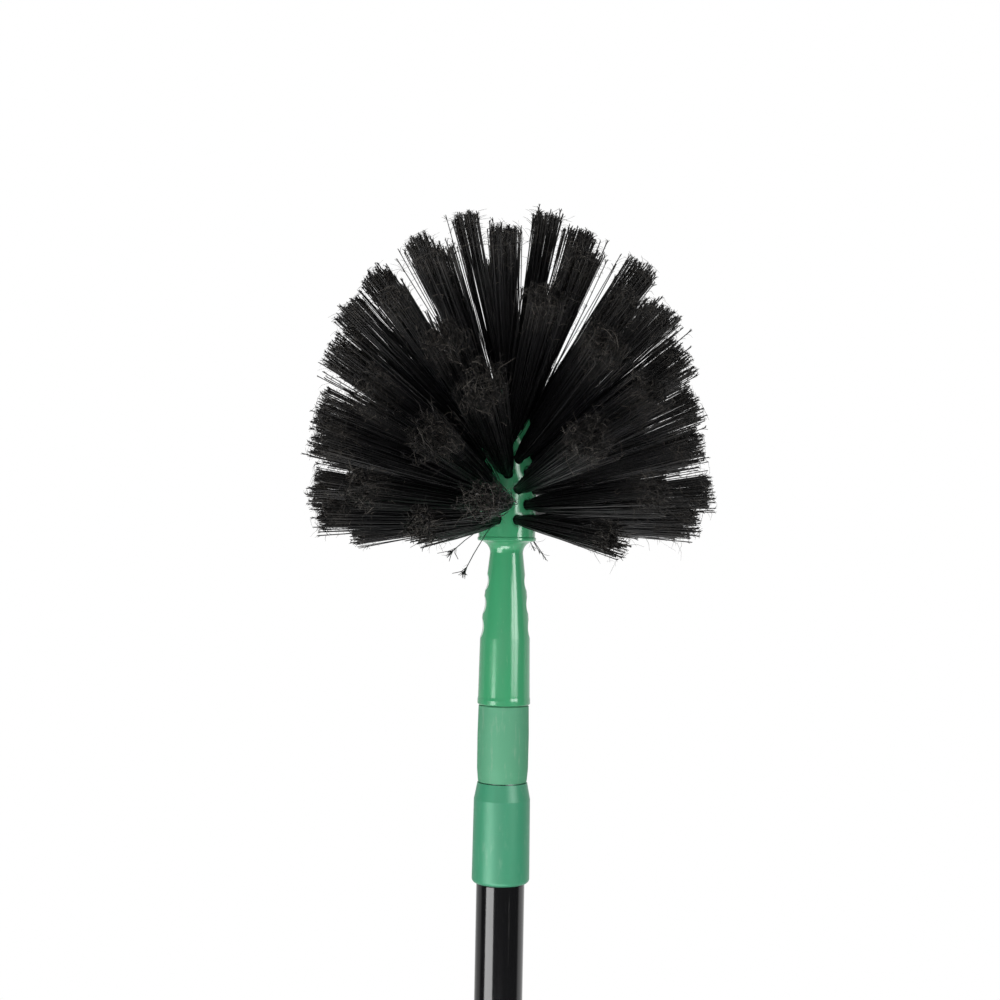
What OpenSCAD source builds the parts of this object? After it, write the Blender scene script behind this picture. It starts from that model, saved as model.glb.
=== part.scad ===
/* [Outer tube] */
// Outside diameter of the outer tube
tube_d = 25; // [23:0.5:28]
// Wall thickness of both tubes
tube_wall = 0.5; // [0.4:0.1:0.8]
// Length of the outer tube
tube_len = 576; // [500:1:900]
// How far the radius is swaged in where the ferrule sits
swage = 0.2; // [0.2:0.05:0.3]

/* [Inner tube] */
// Radial gap between the two tubes
tube_gap = 1; // [0.9:0.1:1.2]
// Height of the inner tube's lower end when the pole is closed
inner_tube_base = 60; // [55:1:120]

/* [Guide bush] */
// Height of the bush body below the inner tube
bush_h = 22; // [18:1:30]
// Depth that the bush stem goes into the inner tube
bush_stem = 25; // [15:1:40]
// Height of the slide ring
ring_h = 10; // [8:1:12]
// Width of the split in the slide ring and the clamp ring
ring_split = 2; // [1:0.5:3]

/* [Lock collar] */
// Height of the twist collar
collar_h = 51.6; // [50:0.2:62]
// How far the collar stands out from the tube at its lower end
collar_proud = 2.45; // [2.4:0.05:3.2]
// How far the side draws in between the lower end and the chamfer
collar_draft = 0.35; // [0.1:0.05:0.4]
// Height of the chamfer at the top
collar_chamfer = 8.6; // [6:0.2:10]
// Radius of the rounded lower edge
collar_round = 2.2; // [1:0.1:2.2]
// Height of the plain bore above the clamp ring
collar_neck = 5.3; // [4:0.1:6]
// Height of the snap lip at the lower end
collar_lip = 3; // [2:0.1:5]

/* [Clamp ring and ferrule] */
// Height of the clamp ring
clamp_h = 9; // [7:0.5:11]
// How much wider the clamp ring is at its foot than at its top
clamp_taper = 0.9; // [0.5:0.05:1]
// Wall of the clamp ring at its top
clamp_wall = 0.85; // [0.8:0.05:0.9]
// Thickness of the ferrule's end flange
ferrule_flange = 2.5; // [2:0.1:3]
// Height of the ferrule's sleeve on the tube
ferrule_sleeve = 21; // [15:1:24]
// Wall thickness of the ferrule's sleeve
ferrule_wall = 0.8; // [0.7:0.05:0.85]

/* [End cap] */
// Length of the cap below the tube
cap_len = 34; // [30:1:45]
// Height of the cap's round rim
cap_rim = 5; // [3:0.5:8]
// Thickness of the hanging tongue
tongue_t = 8; // [6:0.5:11]
// Diameter of the hanging hole
hang_d = 8; // [6:0.5:10]
// Length of the plug inside the tube
plug_len = 22; // [15:1:28]

/* [Tip fitting] */
// Height of the barrel
barrel_h = 39.6; // [34:0.2:50]
// Wall of the barrel where it bulges most
barrel_wall = 2.35; // [2:0.05:3]
// How far the barrel draws in at its top
barrel_top_draw = 0.3; // [0.1:0.05:0.5]
// How far the barrel draws in at its foot
barrel_foot_draw = 0.65; // [0.3:0.05:0.8]
// Depth that the inner tube goes into the barrel
barrel_socket = 33; // [25:1:34]
// Diameter of the spigot at its base
spigot_d = 22.2; // [21:0.1:23]
// Diameter of the spigot at its tip
spigot_tip_d = 18.6; // [17:0.1:19]
// Length of the spigot
spigot_len = 44; // [36:1:46]
// Wall of the hollow spigot
spigot_wall = 2.2; // [1.5:0.1:3]

/* [Handle] */
// Length from the lip to the top of the flange
handle_len = 86.8; // [80:0.2:100]
// Wall of the handle at the socket's mouth
handle_wall = 2.3; // [2.1:0.05:3]
// Height of the shoulder above the lip
shoulder_h = 34.5; // [30:0.5:38]
// How far the radius draws in from the lip to the shoulder
shoulder_draw = 0.55; // [0.3:0.05:0.8]
// Height of the bead at the lip
lip_h = 2.6; // [1.5:0.1:4]
// How far the bead stands out
lip_proud = 0.2; // [0.1:0.05:0.4]
// Diameter of the neck
neck_d = 17.2; // [16:0.2:20]
// How far the grip bulges between the shoulder and the neck
grip_bulge = 0.3; // [0:0.05:0.5]
// Diameter of the cored hole above the socket
core_hole_d = 10; // [6:0.5:11]

/* [Finger scallops] */
// Number of scallops on each side
scallops = 3; // [1:1:3]
// Distance between scallops
scallop_pitch = 11.9; // [10:0.1:12]
// Height of the lowest scallop's middle above the shoulder
scallop_start = 5.8; // [5:0.1:7]
// Depth of a scallop
scallop_depth = 1.05; // [0.4:0.05:1.2]
// Height of the lowest scallop
scallop_h = 10.4; // [9:0.1:11.4]
// How much lower each scallop is than the one below it
scallop_step = 0.9; // [0:0.1:1.2]
// Turn of the scallops about the axis
grip_turn = 5; // [0:1:45]

/* [Tuft core] */
// Diameter of the flange
flange_d = 30.5; // [29.8:0.1:34]
// Thickness of the flange rim
flange_t = 2; // [1.5:0.1:3]
// Diameter of the drum
drum_d = 29.5; // [28.5:0.1:29.6]
// Height of the straight drum above the flange
drum_h = 30.3; // [26:0.1:34]
// Height of the round cap's centre above the flange
cap_h = 72.3; // [66:0.1:80]
// Diameter of the round cap
cap_d = 15.9; // [15.6:0.1:18]

/* [Tufts] */
// Diameter of a tuft hole
hole_d = 5.5; // [4.6:0.1:5.6]
// Depth of a tuft hole
hole_depth = 7.4; // [6.4:0.1:7.5]
// Diameter of the spot face round a hole
spot_d = 7.6; // [7:0.1:7.7]
// Depth of the spot face at the hole's axis
spot_sink = 0.6; // [0.4:0.1:0.7]
// Diameter of a tuft at its ends
tuft_end_d = 12; // [8:0.5:14]
// Thickness of one strand
strand_t = 1.5; // [1:0.1:1.6]
// Strands round the middle one in a tuft
ring_strands = 6; // [4:1:6]
// Shortening of every tuft
tuft_trim = 0; // [0:1:20]
// Height of an anchor
anchor_h = 2; // [1.2:0.1:2.4]
// Thickness of an anchor
anchor_t = 0.5; // [0.3:0.05:0.8]

/* [Clearances] */
// Gap between pieces that turn or slide freely
free_gap = 0.35; // [0.3:0.01:0.4]
// Radial clearance of a running fit
run_fit = 0.05; // [0.02:0.01:0.1]
// Clearance round a piece that is pressed in
press_fit = 0.05; // [0.03:0.01:0.1]
// Radial clearance of the head on its taper
taper_fit = 0.15; // [0.1:0.01:0.2]
// Seam between pieces that meet end to end
seam = 0.4; // [0.3:0.05:0.6]

/* [Hidden] */
$fn = 64;

// Rows of tufts from the lowest up: height of the mouth as a share of the round cap's,
// tilt, tufts, turn about the axis and free length. The top row stands on the cap itself
row_share = [0.122, 0.232, 0.343, 0.454, 0.564, 0.672, 0.814, 0.936];
top_row_share = 0.79;
row_tilt = [-3, 4, 14, 24, 34, 44, 54, 65, 80];
row_tufts = [8, 8, 8, 8, 8, 8, 6, 6, 3];
row_turn = [22.5, 0, 22.5, 0, 22.5, 0, 0, 30, 90];
row_reach = [86, 88.5, 91.5, 93, 97, 98.5, 98.5, 94.5, 90];
rows = [0 : len(row_tufts) - 1];

green_gloss = [0.27, 0.61, 0.43];
green_matte = [0.36, 0.65, 0.50];
green_collar = [0.29, 0.62, 0.47];
black_paint = [0.09, 0.09, 0.1];
bristle_black = [0.07, 0.07, 0.07];
steel = [0.72, 0.73, 0.75];
cut = 1;

// Radii of the pole
tube_r = tube_d / 2;
tube_bore_r = tube_r - tube_wall;
swage_r = tube_r - swage;
inner_r = tube_bore_r - tube_gap;
inner_bore_r = inner_r - tube_wall;
guide_r = inner_r + free_gap;

// Heights of the twist lock, from the tube's upper end
ferrule_top = tube_len + press_fit + ferrule_flange;
clamp_base = ferrule_top + press_fit;
clamp_top = clamp_base + clamp_h;
collar_top = clamp_top + collar_neck;
collar_base = collar_top - collar_h;
swage_base = collar_base - 0.6;

// Radii of the twist lock
ferrule_bore_r = swage_r + press_fit;
ferrule_r = ferrule_bore_r + ferrule_wall;
thread_bore_r = ferrule_r + free_gap;
clamp_bore_r = inner_r + run_fit;
clamp_top_r = clamp_bore_r + clamp_wall;
clamp_foot_r = clamp_top_r + clamp_taper;
collar_foot_r = tube_r + collar_proud;
collar_side_r = collar_foot_r - collar_draft;
collar_top_r = guide_r + 1.6;

// End cap
cap_rim_r = tube_r - 0.3;
hang_z = cap_rim_r - cap_len;

// Inner end of the pole
bush_r = tube_bore_r - free_gap;
ring_r = tube_bore_r - run_fit;
ring_bore_r = bush_r - 1.2;
bush_base = inner_tube_base - bush_h;
ring_base = bush_base + (bush_h - ring_h) / 2;

// Tip fitting
barrel_base = collar_top + seam;
barrel_top = barrel_base + barrel_h;
barrel_r = inner_r + barrel_wall;
inner_tube_top = barrel_base + barrel_socket;
spigot_r = spigot_d / 2;
spigot_tip_r = spigot_tip_d / 2;
spigot_top = barrel_top + spigot_len;

// Handle and socket
lip_z = barrel_top + seam;
flange_z = lip_z + handle_len;
socket_slope = (spigot_r - spigot_tip_r) / spigot_len;
socket_r = spigot_r - socket_slope * seam + taper_fit;
socket_depth = spigot_len - seam + 1.5;
socket_end_r = socket_r - socket_slope * socket_depth;
lip_r = socket_r + handle_wall;
shoulder_r = lip_r - shoulder_draw;
neck_r = neck_d / 2;
flange_r = flange_d / 2;
flange_base = flange_z - flange_t;
neck_fillet = flange_r - neck_r - 0.4;
neck_z = flange_base - neck_fillet;
cone_h = neck_z - lip_z - shoulder_h;
core_hole_end = neck_z + 2;

// Tuft core
drum_r = drum_d / 2;
ogive_base = flange_z + drum_h;
cap_z = flange_z + cap_h;
cap_r = cap_d / 2;
ogive_draw = drum_r - cap_r;
ogive_r = (pow(cap_h - drum_h, 2) + pow(ogive_draw, 2)) / (2 * ogive_draw);
row_height = [for (share = row_share) share * cap_h, cap_h + top_row_share * cap_r];
hole_r = hole_d / 2;

function ogive_radius(h) = drum_r - (ogive_r - sqrt(ogive_r * ogive_r - pow(h - drum_h, 2)));
function cap_radius(h) = sqrt(cap_r * cap_r - pow(h - cap_h, 2));
function core_radius(h) = h <= drum_h ? drum_r : h <= cap_h ? ogive_radius(h) : cap_radius(h);
function cone_radius(h) = shoulder_r + (neck_r - shoulder_r) * h / cone_h
    + grip_bulge * (1 - abs(2 * h / cone_h - 1));
function scallop_r(height) = pow(height, 2) / (8 * scallop_depth) + scallop_depth / 2;

// A ring about the axis, from height z0 to z1
module ring(r_out, r_in, z0, z1) {
    difference() {
        translate([0, 0, z0]) cylinder(r = r_out, h = z1 - z0);
        translate([0, 0, z0 - cut]) cylinder(r = r_in, h = z1 - z0 + 2 * cut);
    }
}

// A hole about the axis that runs from radius r0 at z0 to r1 at z1
module bore(r0, r1, z0, z1) {
    translate([0, 0, z0]) cylinder(r1 = r0, r2 = r1, h = z1 - z0);
}

// Puts its children at the mouth of one tuft hole, with +Z along the tuft
module at_tuft(row, i) {
    rotate([0, 0, row_turn[row] + i * 360 / row_tufts[row]])
        translate([core_radius(row_height[row]), 0, flange_z + row_height[row]])
            rotate([0, 90 - row_tilt[row], 0])
                children();
}

module outer_tube() {
    color(black_paint)
        rotate_extrude()
            polygon([
                [tube_bore_r, 0], [tube_r, 0], [tube_r, swage_base],
                [swage_r, swage_base + 2 * swage], [swage_r, tube_len],
                [swage_r - tube_wall, tube_len], [swage_r - tube_wall, swage_base + 2 * swage],
                [tube_bore_r, swage_base]
            ]);
}

// Round-ended cap cut to a tongue, with a ribbed plug above it
module end_cap() {
    rib_r = tube_bore_r - press_fit;
    plug_r = rib_r - 0.6;
    color(black_paint)
        difference() {
            union() {
                intersection() {
                    union() {
                        translate([0, 0, hang_z])
                            cylinder(r = cap_rim_r, h = -hang_z);
                        translate([0, 0, hang_z])
                            sphere(r = cap_rim_r);
                    }
                    cap_slab();
                }
                cylinder(r = plug_r, h = plug_len);
                for (i = [0 : 2])
                    translate([0, 0, 3 + i * (plug_len - 6) / 3])
                        cylinder(r1 = rib_r, r2 = plug_r, h = 3);
            }
            translate([0, 0, 4])
                cylinder(r = plug_r - 1.6, h = plug_len);
            translate([0, 0, hang_z])
                rotate([90, 0, 0])
                    cylinder(d = hang_d, h = 2 * cap_rim_r, center = true);
        }
}

// Room for the round rim at the tube and the flat tongue below it
module cap_slab() {
    translate([-cap_rim_r - cut, -tongue_t / 2, -cap_len - cut])
        cube([2 * (cap_rim_r + cut), tongue_t, cap_len + cut]);
    translate([0, 0, -cap_rim])
        cylinder(r = cap_rim_r + cut, h = cap_rim);
}

module threaded_ferrule() {
    color(green_collar)
        rotate_extrude()
            polygon([
                [ferrule_bore_r, tube_len - ferrule_sleeve], [ferrule_r - 0.3, tube_len - ferrule_sleeve],
                [ferrule_r, tube_len - ferrule_sleeve + 0.6], [ferrule_r, ferrule_top - 0.4],
                [ferrule_r - 0.4, ferrule_top], [guide_r, ferrule_top],
                [guide_r, tube_len + press_fit], [ferrule_bore_r, tube_len + press_fit]
            ]);
}

module clamp_ring() {
    color(green_matte)
        difference() {
            translate([0, 0, clamp_base])
                cylinder(r1 = clamp_foot_r, r2 = clamp_top_r, h = clamp_h);
            translate([0, 0, clamp_base - cut])
                cylinder(r = clamp_bore_r, h = clamp_h + 2 * cut);
            translate([0, -ring_split / 2, clamp_base - cut])
                cube([2 * clamp_foot_r, ring_split, clamp_h + 2 * cut]);
        }
}

module lock_collar() {
    color(green_collar)
        difference() {
            rotate_extrude()
                collar_outline();
            bore(guide_r, guide_r, clamp_top - cut, collar_top + cut);
            bore(clamp_foot_r + free_gap, clamp_top_r + free_gap, clamp_base, clamp_top + free_gap);
            bore(thread_bore_r, thread_bore_r, collar_base + collar_lip, clamp_base + cut / 20);
            bore(swage_r + free_gap, swage_r + free_gap, collar_base - cut, collar_base + collar_lip + cut);
        }
}

// Half outline of the collar, with a round lower edge
module collar_outline() {
    round_z = collar_base + collar_round;
    polygon([
        [0, round_z], [collar_foot_r, round_z], [collar_side_r, collar_top - collar_chamfer],
        [collar_top_r, collar_top], [0, collar_top]
    ]);
    translate([0, collar_base])
        square([collar_foot_r - collar_round, collar_round]);
    intersection() {
        translate([collar_foot_r - collar_round, round_z])
            circle(r = collar_round);
        translate([0, collar_base])
            square([collar_foot_r, collar_round]);
    }
}

module inner_tube() {
    color(steel)
        ring(inner_r, inner_bore_r, inner_tube_base, inner_tube_top);
}

module guide_bush() {
    stem_r = inner_bore_r - press_fit;
    color(green_matte)
        difference() {
            union() {
                translate([0, 0, bush_base])
                    cylinder(r = bush_r, h = bush_h - press_fit);
                translate([0, 0, bush_base])
                    cylinder(r = stem_r, h = bush_h + bush_stem);
            }
            ring(bush_r + cut, ring_bore_r, ring_base, ring_base + ring_h);
            translate([0, 0, bush_base - cut])
                cylinder(r = stem_r - 2, h = bush_h + bush_stem + 2 * cut);
        }
}

module slide_ring() {
    color([0.85, 0.85, 0.82])
        difference() {
            ring(ring_r, ring_bore_r + press_fit, ring_base + press_fit, ring_base + ring_h - press_fit);
            translate([0, -ring_split / 2, ring_base])
                cube([2 * ring_r, ring_split, ring_h]);
        }
}

// Barrel over the inner tube, with the hollow tapered spigot on top
module tip_fitting() {
    bulge_z = barrel_base + barrel_h * 0.62;
    foot_z = barrel_base + 7;
    hollow_top_r = spigot_tip_r - spigot_wall;
    color(green_matte)
        difference() {
            rotate_extrude()
                polygon([
                    [0, barrel_base], [barrel_r - barrel_foot_draw - 0.3, barrel_base],
                    [barrel_r - barrel_foot_draw, barrel_base + 0.6], [barrel_r - 0.1, foot_z],
                    [barrel_r, bulge_z], [barrel_r - barrel_top_draw, barrel_top - 0.4],
                    [barrel_r - barrel_top_draw - 0.4, barrel_top], [spigot_r, barrel_top],
                    [spigot_tip_r, spigot_top - 1], [spigot_tip_r - 1, spigot_top], [0, spigot_top]
                ]);
            bore(inner_r + press_fit, inner_r + press_fit, barrel_base - cut, inner_tube_top + press_fit);
            bore(spigot_r - spigot_wall, hollow_top_r, barrel_top - 3, spigot_top - 3);
            bore(inner_bore_r - 0.5, spigot_r - spigot_wall, inner_tube_top, barrel_top - 3 + cut / 20);
        }
}

module brush_core() {
    color(green_gloss)
        difference() {
            rotate_extrude() {
                handle_outline();
                tuft_core_outline();
            }
            bore(socket_r, socket_end_r, lip_z, lip_z + socket_depth);
            bore(socket_r + 0.6, socket_r, lip_z - 0.01, lip_z + 0.6);
            bore(core_hole_d / 2, core_hole_d / 2 - 1, lip_z + socket_depth - cut, core_hole_end);
            grip_scallops();
            for (row = rows)
                for (i = [0 : row_tufts[row] - 1])
                    at_tuft(row, i)
                        tuft_hole();
        }
}

// Half outline of the handle from the lip to the flange, with the round fillet under the flange
module handle_outline() {
    polygon([
        [0, lip_z], [lip_r + lip_proud - 0.5, lip_z], [lip_r + lip_proud, lip_z + 0.5],
        [lip_r + lip_proud, lip_z + lip_h], [lip_r - 0.05, lip_z + lip_h + 1.5],
        [shoulder_r, lip_z + shoulder_h], [cone_radius(cone_h / 2), lip_z + shoulder_h + cone_h / 2],
        [neck_r, neck_z], [0, neck_z]
    ]);
    difference() {
        translate([0, neck_z])
            square([neck_r + neck_fillet, neck_fillet]);
        translate([neck_r + neck_fillet, neck_z])
            circle(r = neck_fillet);
    }
    polygon([
        [0, flange_base - 0.01], [flange_r - 0.4, flange_base - 0.01], [flange_r, flange_base + 0.5],
        [flange_r, flange_z - 0.5], [flange_r - 0.4, flange_z], [0, flange_z]
    ]);
}

// Half outline of the drum, the long arc and the round cap
module tuft_core_outline() {
    translate([0, flange_z - 0.01])
        square([drum_r, drum_h + 0.01]);
    intersection() {
        translate([drum_r - ogive_r, ogive_base])
            circle(r = ogive_r, $fn = 256);
        translate([0, ogive_base])
            square([drum_r, cap_z - ogive_base]);
    }
    intersection() {
        translate([0, cap_z])
            circle(r = cap_r);
        translate([0, cap_z])
            square([cap_r, cap_r]);
    }
}

module grip_scallops() {
    for (side = [0, 180])
        for (i = [0 : scallops - 1])
            let (h = scallop_start + i * scallop_pitch, r = scallop_r(scallop_h - i * scallop_step))
                rotate([0, 0, grip_turn + side])
                    translate([cone_radius(h) - scallop_depth + r, 0, lip_z + shoulder_h + h])
                        rotate([90, 0, 0])
                            cylinder(r = r, h = 2 * shoulder_r, center = true);
}

// Blind hole with a spot face square to the tuft
module tuft_hole() {
    translate([0, 0, -hole_depth])
        cylinder(r = hole_r, h = hole_depth + cut);
    translate([0, 0, -spot_sink])
        cylinder(d = spot_d, h = 8);
}

// One tuft: a plug in the hole and the strands that splay from it
module tuft(reach) {
    plug_r = hole_r - press_fit;
    strand_r = strand_t / 2;
    root_r = plug_r - strand_r - 0.15;
    root_z = -hole_depth + anchor_h + 2 * press_fit;
    splay = atan((tuft_end_d / 2 - root_r) / reach);
    translate([0, 0, root_z])
        cylinder(r = plug_r, h = -root_z, $fn = 8);
    translate([0, 0, -cut])
        cylinder(r = strand_r, h = reach + cut, $fn = 3);
    for (i = [0 : ring_strands - 1])
        rotate([0, 0, i * 360 / ring_strands])
            translate([root_r, 0, -cut])
                rotate([0, splay, 0])
                    cylinder(r = strand_r, h = (reach + cut) / cos(splay), $fn = 3);
}

module bristle_row(row) {
    color(bristle_black)
        for (i = [0 : row_tufts[row] - 1])
            at_tuft(row, i)
                tuft(row_reach[row] - tuft_trim);
}

// Flat wire staples that lie on the floors of the tuft holes
module tuft_anchors() {
    anchor_w = hole_d - 0.3;
    color(steel)
        for (row = rows)
            for (i = [0 : row_tufts[row] - 1])
                at_tuft(row, i)
                    translate([-anchor_t / 2, -anchor_w / 2, -hole_depth + press_fit])
                        cube([anchor_t, anchor_w, anchor_h]);
}

outer_tube();
end_cap();
threaded_ferrule();
clamp_ring();
lock_collar();
inner_tube();
guide_bush();
slide_ring();
tip_fitting();
brush_core();
tuft_anchors();
bristle_row(0);  // bristle_row_1
bristle_row(1);  // bristle_row_2
bristle_row(2);  // bristle_row_3
bristle_row(3);  // bristle_row_4
bristle_row(4);  // bristle_row_5
bristle_row(5);  // bristle_row_6
bristle_row(6);  // bristle_row_7
bristle_row(7);  // bristle_row_8
bristle_row(8);  // bristle_row_9
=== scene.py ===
"""Cobweb brush: bristles, finishes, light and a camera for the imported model."""
import math

import bpy
import numpy as np
from bpy.props import FloatProperty, FloatVectorProperty, IntProperty, PointerProperty
from mathutils import Euler, Matrix, Vector


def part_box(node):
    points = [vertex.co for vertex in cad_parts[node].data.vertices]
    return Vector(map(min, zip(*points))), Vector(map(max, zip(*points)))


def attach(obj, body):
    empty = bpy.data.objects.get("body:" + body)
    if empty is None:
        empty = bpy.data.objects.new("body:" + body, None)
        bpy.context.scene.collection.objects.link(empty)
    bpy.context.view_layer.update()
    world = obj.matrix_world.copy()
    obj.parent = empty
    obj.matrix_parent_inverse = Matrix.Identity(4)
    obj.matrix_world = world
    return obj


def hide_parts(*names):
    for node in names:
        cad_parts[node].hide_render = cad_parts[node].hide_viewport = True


bl_info = {
    "name": "Cobweb brush",
    "version": (1, 0, 0),
    "blender": (4, 5, 0),
    "location": "3D View > Sidebar > Brush",
    "description": "Dresses the cobweb brush with bristles and finishes and sets up its studio",
    "category": "Object",
}

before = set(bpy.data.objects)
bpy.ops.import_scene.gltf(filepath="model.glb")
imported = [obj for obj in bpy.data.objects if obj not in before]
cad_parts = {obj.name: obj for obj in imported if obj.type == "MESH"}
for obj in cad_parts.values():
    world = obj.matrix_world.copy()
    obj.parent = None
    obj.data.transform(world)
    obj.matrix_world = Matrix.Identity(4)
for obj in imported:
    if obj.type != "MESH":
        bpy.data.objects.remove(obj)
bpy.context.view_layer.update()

# The tuft core: a drum on the handle's flange, an arched cap on the drum and a ball end
FLANGE = 0.7201
DRUM_RADIUS = 0.01475
DRUM_HEIGHT = 0.0303
CAP_HEIGHT = 0.0723
CAP_RADIUS = 0.00795

# The nine rows of tufts, lowest first. Each height is a share of the cap's height, and the top
# row's is a share of the ball end's radius. Tilts and turns are in degrees, reaches in metres.
# Spread and strands are shares of what the settings say.
ROW_SHARE = (0.122, 0.232, 0.343, 0.454, 0.564, 0.672, 0.814, 0.936)
TOP_ROW_SHARE = 0.79
ROW_TILT = (-3, 4, 14, 24, 34, 44, 54, 65, 80)
ROW_TUFTS = (8, 8, 8, 8, 8, 8, 6, 6, 3)
ROW_TURN = (22.5, 0, 22.5, 0, 22.5, 0, 0, 30, 90)
ROW_REACH = (0.0860, 0.0885, 0.0915, 0.0930, 0.0970, 0.0985, 0.0985, 0.0945, 0.0900)
ROW_SPREAD = (1.05, 1.35, 1.5, 1.5, 1.42, 1.25, 1.08, 0.98, 0.92)
ROW_STRANDS = (1.3, 1.4, 1.45, 1.45, 1.4, 1.3, 1.2, 1.05, 1.0)

# Along a bristle: points at shares of its length, after a first one that is inside the hole and
# in metres, then how thick and how split the bristle is at each
ALONG = (-0.0052, 0.0, 0.1, 0.28, 0.62, 1.0)
THICK_ALONG = (1, 1, 1, 1, 1.05, 1.1)
SPLIT_ALONG = (0, 0, 0, 0, 0.08, 0.5)

# Tufts that lean away from their hole's direction. Row and tuft, then turn and tilt in degrees.
LEANS = {
    (1, 0): (0, 4), (1, 1): (0, 4), (1, 3): (-14, -1), (1, 4): (0, 2), (1, 5): (-3, 1),
    (1, 6): (12, -3), (1, 7): (0, 5),
    (2, 0): (0, 3), (2, 1): (0, 2), (2, 6): (-7, -5),
    (3, 0): (0, 3), (3, 1): (0, -5), (3, 7): (0, 1),
    (4, 0): (0, 1.5), (4, 4): (0, -1.5), (4, 6): (-8, 0),
    (5, 4): (0, -1), (5, 6): (6, -2),
    (6, 0): (0, 2), (6, 4): (0, 1), (6, 6): (14, -2),
    (7, 0): (0, 2.5), (7, 1): (5, 0), (7, 3): (0, -4), (7, 4): (-4, 0),
    (8, 0): (6, 3), (8, 1): (8, 0), (8, 2): (0, -3), (8, 3): (0, -4.5), (8, 4): (-7, -4),
    (8, 5): (-5, 3),
    (9, 0): (15, -6), (9, 1): (0, -5),
}

# Tufts that are longer or shorter than the rest of their row
REACHES = {
    (1, 6): 0.97, (2, 0): 1.03, (2, 4): 0.98, (4, 0): 0.98,
    (4, 4): 0.975, (5, 7): 0.98, (6, 4): 1.02, (7, 0): 1.03,
}
TUFT_WANDER = 0.012  # how far each tuft's direction strays, as a share of its length
STRAY_LEAN = (0.001, 0.0075)  # how far strays lean out of their tuft, in metres
LOW_STRAY_SHARE = 0.45  # the lowest row's strays lean out by this share of that
CLUMPS = 9  # points in each tuft that its bristles gather towards

# Prongs: how far back from the bristle's end they start and how far past it they go, in metres,
# their greatest splay in degrees, their thickness as a share of the bristle's, and along one the
# points, how thick and how split it is
PRONG_START = (0.0008, 0.0040)
PRONG_PAST = (-0.0006, 0.0010)
PRONG_SPLAY = 40
PRONG_SHARE = (0.28, 0.42)
PRONG_ALONG = (0.0, 0.55, 1.0)
PRONG_THICK = (1.0, 1.0, 0.8)
PRONG_SPLIT = (0.0, 0.15, 0.35)

# Hairs: the same, with how strongly they lean into the tuft and the points after their root
HAIR_START = (0.0008, 0.026)
HAIR_PAST = 0.0007
HAIR_INWARD = 0.7
HAIR_SHORTEST, HAIR_LONGEST = 0.0018, 0.0125
HAIR_ALONG = (0.35, 0.7, 1.0)
HAIR_THICK = (1.2, 1.1, 1.0, 0.6)
HAIR_SPLIT = (0.5, 0.8, 1.0, 1.0)

# Loose bristles: the tuft of the lowest row that each hangs from, counted from 0, and where it
# ends. Along one, in shares of its length from inside the hole, and how split it is there.
HANGING = (
    (5, (-0.0262, -0.0900, 0.7120)),
    (5, (-0.0199, -0.0980, 0.7023)),
    (1, (0.0180, 0.0215, 0.7120)),
    (1, (0.0212, 0.0225, 0.7085)),
    (1, (0.0150, 0.0245, 0.7130)),
)
HANGING_ALONG = (-0.04, 0, 0.35, 0.7, 1.0)
HANGING_SPLIT = (0, 0, 0, 0.05, 0.4)
HANGING_FRAY = 50  # how frayed their ends are, for each metre of their length

# Lint: thin curls caught in the bristle ends, in metres
LINT_CURLS = 380
LINT_POINTS = 8
LINT_RADIUS = 0.00005
LINT_APART = 0.006  # how far from a tuft's middle line
LINT_LENGTH = (0.004, 0.016)
LINT_CURL = (0.0004, 0.0028)

SEED_STEP = 100  # each row's random numbers start at seed times this, plus the row's number
STRAY_SEED = 50  # and those of the strays at this in place of a row's number
ANY_TURN = (0, 6.28)  # any turn at all, in radians
GOLDEN_TURN = 2.39996  # radians from one bristle of a tuft to the next

# Lamps: name, turn and lift in degrees as seen from the neck, distance, width, height, level,
# whether it lights matte surfaces and whether it shows in glossy ones
LAMPS = (
    ("right_box", 47.0, 15.0, 1.0, 0.54, 0.70, 10.0, False, True),
    ("left_box", -50.0, -24.0, 1.0, 0.66, 0.58, 8.4, False, True),
    ("low_box", -15.0, -52.0, 0.6, 0.50, 0.30, 8.5, False, True),
    ("left_strip", -48.0, -7.0, 1.0, 0.28, 0.16, 6.0, False, True),
    ("small_box", -20.0, 34.0, 1.0, 0.13, 0.13, 26.0, False, True),
    ("front_box", -14.0, -6.0, 1.2, 0.90, 0.90, 2.9, True, False),
)
LAMP_AIM = 0.66  # height of the neck, which the lamps point at
FLOOR_SIDES = 72
FLOOR_GREY = (0.82, 0.82, 0.82, 1)
WHITE = (1, 1, 1, 1)
SENSOR_WIDTH = 36  # of the camera, in millimetres
SEEN_FROM_TO = (0.01, 50)  # the nearest and the farthest that the camera sees, in metres

PARTING_LINE = (0.0001, 0.00022)  # half widths of its flat top and of its foot, in metres


def tint(red, green, blue):
    """A colour given as 0 to 255 screen values, in the values that shaders use."""
    def one(value):
        value /= 255
        return value / 12.92 if value <= 0.04045 else ((value + 0.055) / 1.055) ** 2.4
    return one(red), one(green), one(blue)


def colour_property(name, description, default):
    """A colour that the panel shows."""
    return FloatVectorProperty(
        name=name, description=description, default=default, size=3, min=0, max=1, subtype="COLOR")


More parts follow.
